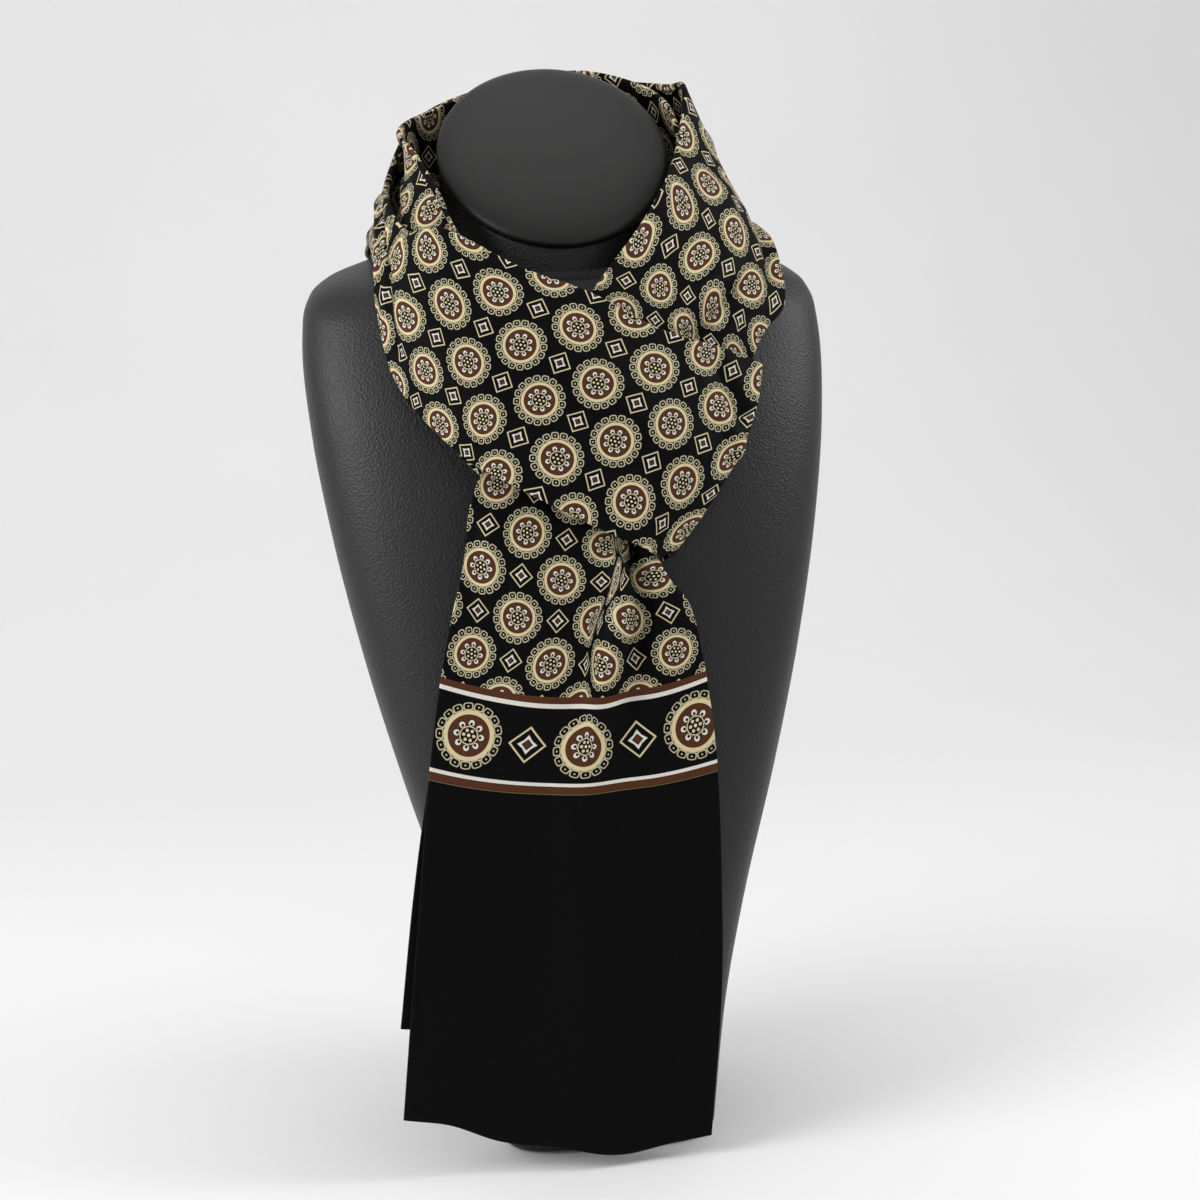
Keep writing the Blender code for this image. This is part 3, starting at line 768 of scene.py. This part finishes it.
def makeStretch(piece, first, last):
    # A soft flat tube: the middle surface moved half a thickness both ways, closed at its edges. The
    # thickness falls to the edge as a quarter circle does. Gives the piece, its width and its length.
    length = float(np.diff(np.interp([first, last], lengthStations, lengths))[0])
    station = np.linspace(first, last, int(length / cloth["face"]) + 2)
    reach = cloth["half"] / cloth["width"]
    inner = np.linspace(reach, 1 - reach, int(cloth["width"] / cloth["face"]))
    rounding = reach * np.array(cloth["edgeSteps"])
    across = np.concatenate([rounding, inner, 1 - rounding[::-1]])[None, :]

    def surface(s):
        return clothSurface(piece, s, across)

    middle = surface(station)
    out = facing(surface, station)
    u, v = clothCoordinates(clothSurface(piece, station, across, sectionPoints), station)
    fromEdge = np.minimum(u - u[:, :1], u[:, -1:] - u)
    closing = np.sqrt(np.clip(1 - np.clip(1 - fromEdge / cloth["half"], 0, 1) ** 2, 0, 1))
    half = cloth["half"] * closing * (1 + cloth["edge"] * np.exp(-((fromEdge / cloth["edgeReach"]) ** 2)))
    face = middle + half[:, :, None] * out
    back = (middle - half[:, :, None] * out)[:, -2:0:-1]
    ring = np.concatenate([face, back], 1)
    rows, cols = ring.shape[:2]
    index = np.arange(rows * cols).reshape(rows, cols)
    right = np.roll(index, -1, 1)
    faces = np.stack([index[:-1], right[:-1], right[1:], index[1:]], 2).reshape(-1, 4).tolist()
    n = face.shape[1] - 1
    for end, way in ((index[0], -1), (index[-1], 1)):  # both ends, filled between face and back
        over, under = end[1:n], end[2 * n - np.arange(1, n)]
        caps = np.stack([over[:-1], over[1:], under[1:], under[:-1]], 1).tolist()
        caps += [[end[0], end[1], end[2 * n - 1]], [end[n - 1], end[n], end[n + 1]]]
        faces += [corners[::way] for corners in caps]
    uRing = np.concatenate([u, (2 * cloth["width"] - u)[:, -2:0:-1]], 1)
    vRing = np.concatenate([v, v[:, -2:0:-1]], 1)
    uv = np.stack([uRing, vRing], 2).reshape(-1, 2)
    made = faceMesh(piece["node"] + "_cloth", ring.reshape(-1, 3), faces, twill, uv)
    soft = np.arange(len(faces)) < (rows - 1) * cols  # the end caps stay flat, so they don't shade the seam
    made.data.polygons.foreach_set("use_smooth", soft)
    return made, float((u[:, -1] - u[:, 0]).mean()), length


def makeScarf():
    # Each stretch runs from its first row to the first row of the next one.
    first = 0
    for piece in stretches:
        last = min(first + len(piece["sections"]), lastStation)
        made, shown, length = makeStretch(piece, first, last)
        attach(made, "root")
        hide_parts(piece["node"])
        faces = len(made.data.polygons)
        print(piece["node"], "laid,", round(shown), "by", round(length), "mm,", faces, "faces")
        first = last


makeScarf()


# Black PU leatherette on a moulded torso: fine pebbled grain about 1.1 mm across, low soft shine.
leatherette = {
    "colour": "#101011",
    "grain": 1.1,  # mm
    "roughness": 0.46,
    "bump": 0.8,
    "specular": 0.45,
}

# The cap's leatherette is stretched smooth over its dome, so the window shows in it as a soft glow.
cap = {
    "colour": "#191817",
    "roughness": 0.42,
    "grain": 0.8,
    "bump": 0.12,
    "specular": 0.3,
    "sides": 144,
    "gap": 0.3,  # mm of air between the neck's top and the cap
    "rings": [  # size against the neck's top ring, and mm above the gap
        (0.955, 0.0), (0.990, 0.4), (1.012, 1.6), (1.018, 3.0), (1.006, 4.4), (0.965, 5.7), (0.860, 7.4),
        (0.660, 9.2), (0.400, 10.4), (0.150, 10.9), (0.010, 11.0),
    ],
}

form = {
    "sides": 176,
    "rings": 150,
    "footRadius": 5.0,
    "footHeights": (0.0, 0.4, 1.0, 2.0, 3.4, 5.0),  # rings that round the foot's edge
    "sections": [  # height, half width, front, back, power of the superellipse, lean
        (0, 54.0, -55, 55, 5.0, 0.00),
        (60, 61.0, -58, 64, 5.0, 0.00),
        (120, 74.4, -58, 74, 4.5, 0.00),
        (180, 92.0, -54, 82, 4.2, 0.00),
        (240, 107.7, -47, 89, 4.0, 0.00),
        (300, 120.1, -37, 95, 3.8, 0.00),
        (350, 127.4, -24, 99, 3.6, 0.00),
        (385, 129.8, -11, 102, 3.4, 0.03),
        (405, 128.6, -4, 103, 3.2, 0.08),
        (416, 124.5, 0, 103, 2.9, 0.12),
        (423, 116.0, 3, 103, 2.7, 0.16),
        (428, 102.0, 5, 103, 2.5, 0.20),
        (432, 84.0, 6.5, 103, 2.3, 0.26),
        (437, 70.0, 8, 102.5, 2.1, 0.34),
        (444, 61.0, 9, 102, 2.0, 0.45),
        (455, 57.8, 9, 101.5, 2.0, 0.70),
        (470, 57.3, 9, 101, 2.0, 0.90),
        (479, 57.3, 9, 101, 2.0, 0.98),
    ],
}
formTable = columns("height halfWidth front back power lean", form["sections"])


def makeLeatherette(name, look):
    # Pebbles with pores in them as bump, and a slow cloud that shifts the tint and the shine a little.
    grain, roughness = look["grain"], look["roughness"]
    made, tree, shader = newMaterial(name)
    place = addNode(tree, "ShaderNodeTexCoord").outputs["Object"]
    cells = {"Vector": place, "Scale": 1000 / grain, "Smoothness": 0.6}
    pebbles = addNode(tree, "ShaderNodeTexVoronoi", {"feature": "SMOOTH_F1"}, cells)
    speckle = {"Vector": place, "Scale": 2600.0 / grain, "Detail": 4.0}
    pores = addNode(tree, "ShaderNodeTexNoise", {}, speckle)
    both = {0: pores.outputs[0], 1: 0.5, 2: pebbles.outputs[0]}
    height = addNode(tree, "ShaderNodeMath", {"operation": "MULTIPLY_ADD"}, both)
    relief = {"Height": height.outputs[0], "Strength": look["bump"], "Distance": 0.3 * mm}
    bump = addNode(tree, "ShaderNodeBump", {}, relief)
    cloud = addNode(tree, "ShaderNodeTexNoise", {}, {"Vector": place, "Scale": 14.0, "Detail": 5.0})
    shade = addNode(tree, "ShaderNodeMapRange", {}, {0: cloud.outputs[0], 3: 0.85, 4: 1.2})
    scaled = {0: toLinear(look["colour"])[:3], "Scale": shade.outputs[0]}
    tinted = addNode(tree, "ShaderNodeVectorMath", {"operation": "SCALE"}, scaled)
    dullness = {0: cloud.outputs[0], 3: roughness - 0.05, 4: roughness + 0.06}
    dull = addNode(tree, "ShaderNodeMapRange", {}, dullness)
    tree.links.new(tinted.outputs[0], shader.inputs["Base Color"])
    tree.links.new(dull.outputs[0], shader.inputs["Roughness"])
    tree.links.new(bump.outputs[0], shader.inputs["Normal"])
    shader.inputs["Specular IOR Level"].default_value = look["specular"]
    return made


def formRings(heights, sides):
    # A superellipse at each height, |x/a|^n + |y/b|^n = 1, that leans back by its slope. Near the
    # ground it draws in by a quarter circle, which rounds the foot's edge.
    at = formTable["height"]
    row = {name: smoothCurve(at, formTable[name], heights, steady=True)[:, None] for name in formTable}
    angle = np.arange(sides)[None, :] * 2 * np.pi / sides
    below = np.maximum(form["footRadius"] - heights, 0)[:, None]
    inset = form["footRadius"] - np.sqrt(form["footRadius"] ** 2 - below**2)
    depth = (row["back"] - row["front"]) / 2 - inset
    across = np.sign(np.cos(angle)) * np.abs(np.cos(angle)) ** (2 / row["power"])
    along = np.sign(np.sin(angle)) * np.abs(np.sin(angle)) ** (2 / row["power"])
    x = (row["halfWidth"] - inset) * across
    y = (row["front"] + row["back"]) / 2 + depth * along
    z = heights[:, None] + row["lean"] * depth * along
    return np.stack([x, y, z], 2)


def turnedMesh(name, rings, finish):
    # Rings joined by quads, with one more ring at each end that is drawn in to one place.
    ends = [np.repeat(ring.mean(1, keepdims=True), rings.shape[1], 1) for ring in (rings[:1], rings[-1:])]
    rings = np.concatenate([ends[0], rings, ends[1]])
    rows, cols = rings.shape[:2]
    index = np.arange(rows * cols).reshape(rows, cols)
    right = np.roll(index, -1, 1)
    quads = np.stack([index[:-1], right[:-1], right[1:], index[1:]], 2).reshape(-1, 4)
    return faceMesh(name, rings.reshape(-1, 3), quads.tolist(), finish)


def makeForm():
    # Torso and neck: as many rings between each two heights of the table, so most where it bends most.
    skin = makeLeatherette("black PU leatherette", leatherette)
    steps = np.arange(len(formTable["height"]))
    station = np.linspace(0, steps[-1], form["rings"])[1:]
    aboveFoot = np.interp(station, steps, formTable["height"])
    heights = np.unique(np.concatenate([form["footHeights"], aboveFoot]))
    made = turnedMesh("display_form_skin", formRings(heights, form["sides"]), skin)
    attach(made, "root")
    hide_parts("display_form")


def makeCap():
    # The neck's top ring, sized and raised along the axis of its slant.
    rim = formRings(formTable["height"][-1:], cap["sides"])[0]
    centre = rim.mean(0)
    lean = formTable["lean"][-1]
    out = np.array([0.0, -lean, 1.0]) / np.hypot(lean, 1.0)
    sizes, raised = np.array(cap["rings"]).T[:, :, None, None]
    rings = centre + (rim - centre) * sizes + out * (cap["gap"] + raised)
    made = turnedMesh("form_cap_skin", rings, makeLeatherette("smooth stretched leatherette", cap))
    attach(made, "root")
    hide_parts("form_cap")


makeForm()
makeCap()
print("form covered")


# A pale paper sweep and soft lights, bright all round as in the photograph.
studio = {
    "paper": "#f1f0f0",  # matt paper: no shine, a faint mottle
    "paperRoughness": 0.9,
    "halfWidth": 3500.0,  # the sweep's sizes are in mm
    "front": -3000.0,
    "bendStart": 700.0,
    "bendRadius": 900.0,
    "bendSteps": 25,
    "wallTop": 3200.0,
    "sky": 0.55,
    "lights": [  # name, place, aim and size in metres, watts
        ("window", (-1.1, -0.4, 0.85), (0.0, 0.0, 0.38), 0.8, 10.5),
        ("lamp", (0.9, -0.15, 0.9), (0.08, 0.0, 0.42), 0.5, 5.0),
        ("wash", (0.0, 0.3, 2.4), (0.0, 1.5, 0.7), 1.6, 7.0),
    ],
}


def makeStudio(s):
    # The sweep: a level floor, a quarter circle at the back and a wall, drawn as one profile.
    made, tree, shader = newMaterial("matt paper")
    place = addNode(tree, "ShaderNodeTexCoord").outputs["Object"]
    mottle = addNode(tree, "ShaderNodeTexNoise", {}, {"Vector": place, "Scale": 3.0, "Detail": 3.0})
    shade = addNode(tree, "ShaderNodeMapRange", {}, {0: mottle.outputs[0], 3: 0.97, 4: 1.03})
    scaled = {0: toLinear(s["paper"])[:3], "Scale": shade.outputs[0]}
    tinted = addNode(tree, "ShaderNodeVectorMath", {"operation": "SCALE"}, scaled)
    tree.links.new(tinted.outputs[0], shader.inputs["Base Color"])
    shader.inputs["Roughness"].default_value = s["paperRoughness"]
    bend = np.linspace(0, np.pi / 2, s["bendSteps"])
    radius, start = s["bendRadius"], s["bendStart"]
    y = np.concatenate([[s["front"]], start + radius * np.sin(bend), [start + radius]])
    z = np.concatenate([[0], radius - radius * np.cos(bend), [s["wallTop"]]])
    x = np.array([-s["halfWidth"], s["halfWidth"]])
    points = np.stack(np.broadcast_arrays(x[None, :], y[:, None], z[:, None]), 2)
    index = np.arange(len(y) * 2).reshape(-1, 2)
    quads = np.stack([index[:-1, 0], index[:-1, 1], index[1:, 1], index[1:, 0]], 1)
    faceMesh("paper_sweep", points.reshape(-1, 3), quads.tolist(), made)
    world = bpy.data.worlds.new("studio air")
    world.use_nodes = True
    world.node_tree.nodes["Background"].inputs["Color"].default_value = (1.0, 1.0, 1.0, 1.0)
    world.node_tree.nodes["Background"].inputs["Strength"].default_value = s["sky"]
    bpy.context.scene.world = world
    bpy.context.scene.view_settings.view_transform = "Standard"  # hex colours come out as they are
    for name, stand, aim, size, watts in s["lights"]:
        lamp = bpy.data.lights.new(name, "AREA")
        lamp.shape = "DISK"
        lamp.size = size
        lamp.energy = watts
        made = bpy.data.objects.new(name, lamp)
        made.location = stand
        made.rotation_euler = (Vector(aim) - Vector(stand)).to_track_quat("-Z", "Y").to_euler()
        bpy.context.scene.collection.objects.link(made)


makeStudio(studio)
